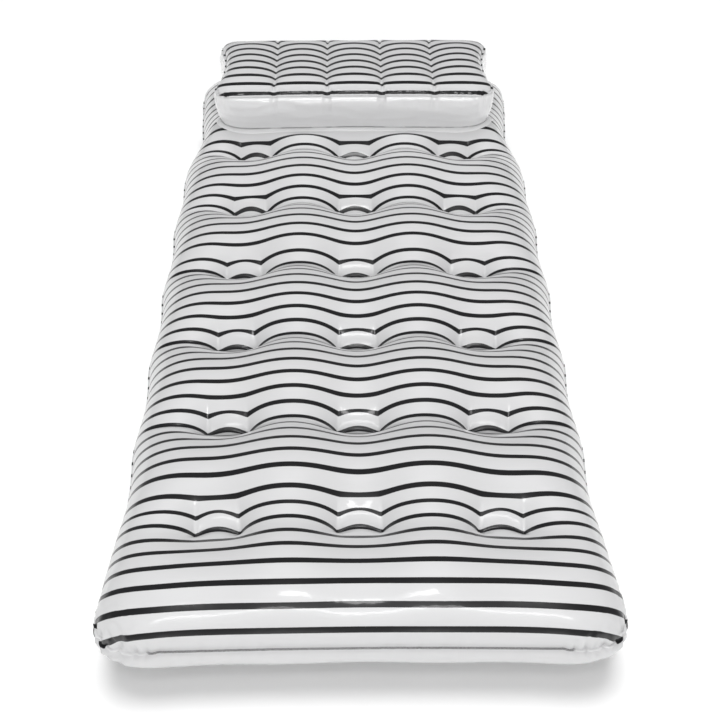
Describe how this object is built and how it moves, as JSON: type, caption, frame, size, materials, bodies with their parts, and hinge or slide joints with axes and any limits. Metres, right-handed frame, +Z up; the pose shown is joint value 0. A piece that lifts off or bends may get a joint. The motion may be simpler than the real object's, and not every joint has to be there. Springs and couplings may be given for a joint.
{
  "type": "inflatable pool float",
  "caption": "Ribbed inflatable lounger mattress for a pool, with tied rows of dimples, a raised lobed pillow at the head and pinch valves with captive stoppers.",
  "frame": {"origin": "centre of the bounding box's bottom face, on the ground under the mattress", "axes": "+Y along the mattress from foot to head, +X across it to the right, +Z up"},
  "size_m": [0.838, 1.808, 0.34],
  "materials": {
    "striped_vinyl": "glossy white vinyl printed with thin black cross stripes",
    "white_vinyl": "glossy plain white vinyl",
    "inner_vinyl": "plain white vinyl strip",
    "valve_vinyl": "soft milky vinyl moulding"
  },
  "bodies": {
    "root": {"mattress_top_sheet": "striped_vinyl", "mattress_bottom_sheet": "striped_vinyl", "tie_strip_1_left": "inner_vinyl", "tie_strip_1_centre": "inner_vinyl", "tie_strip_1_right": "inner_vinyl", "tie_strip_2_left": "inner_vinyl", "tie_strip_2_centre": "inner_vinyl", "tie_strip_2_right": "inner_vinyl", "tie_strip_3_left": "inner_vinyl", "tie_strip_3_centre": "inner_vinyl", "tie_strip_3_right": "inner_vinyl", "tie_strip_4_left": "inner_vinyl", "tie_strip_4_centre": "inner_vinyl", "tie_strip_4_right": "inner_vinyl", "tie_strip_5_left": "inner_vinyl", "tie_strip_5_centre": "inner_vinyl", "tie_strip_5_right": "inner_vinyl", "tie_strip_6_left": "inner_vinyl", "tie_strip_6_centre": "inner_vinyl", "tie_strip_6_right": "inner_vinyl", "tie_strip_7_left": "inner_vinyl", "tie_strip_7_centre": "inner_vinyl", "tie_strip_7_right": "inner_vinyl", "pillow_top_sheet": "striped_vinyl", "pillow_wall": "white_vinyl", "pillow_web_1": "inner_vinyl", "pillow_web_2": "inner_vinyl", "pillow_web_3": "inner_vinyl", "pillow_web_4": "inner_vinyl", "mattress_valve_base": "valve_vinyl", "pillow_valve_base": "valve_vinyl"},
    "mattress_stem": {"mattress_valve_stem": "valve_vinyl"},
    "mattress_stopper": {"mattress_valve_stopper": "valve_vinyl"},
    "mattress_flap": {"mattress_check_flap": "valve_vinyl"},
    "pillow_stem": {"pillow_valve_stem": "valve_vinyl"},
    "pillow_stopper": {"pillow_valve_stopper": "valve_vinyl"},
    "pillow_flap": {"pillow_check_flap": "valve_vinyl"}
  },
  "joints": [
    {"name": "mattress_stem_slide", "type": "slide", "parent": "root", "child": "mattress_stem", "axis": [0, 0.8304, 0.5571], "range_m": [0, 0.012]},
    {"name": "mattress_stopper_flip", "type": "hinge", "parent": "mattress_stem", "child": "mattress_stopper", "pos_m": [0.105, 0.87976, 0.18823], "axis": [0, -0.5571, 0.8304], "range_deg": [0, 150]},
    {"name": "mattress_flap_swing", "type": "hinge", "parent": "mattress_stem", "child": "mattress_flap", "pos_m": [0.111, 0.85941, 0.17458], "axis": [0, 0.5571, -0.8304], "range_deg": [0, 60], "stiffness_Nm_per_rad": 0.0002},
    {"name": "pillow_stem_slide", "type": "slide", "parent": "root", "child": "pillow_stem", "axis": [0, 1, 0], "range_m": [0, 0.012]},
    {"name": "pillow_stopper_flip", "type": "hinge", "parent": "pillow_stem", "child": "pillow_stopper", "pos_m": [0.105, 0.8194, 0.269], "axis": [0, 0, 1], "range_deg": [0, 150]},
    {"name": "pillow_flap_swing", "type": "hinge", "parent": "pillow_stem", "child": "pillow_flap", "pos_m": [0.111, 0.7949, 0.269], "axis": [0, 0, -1], "range_deg": [0, 60], "stiffness_Nm_per_rad": 0.0002}
  ]
}
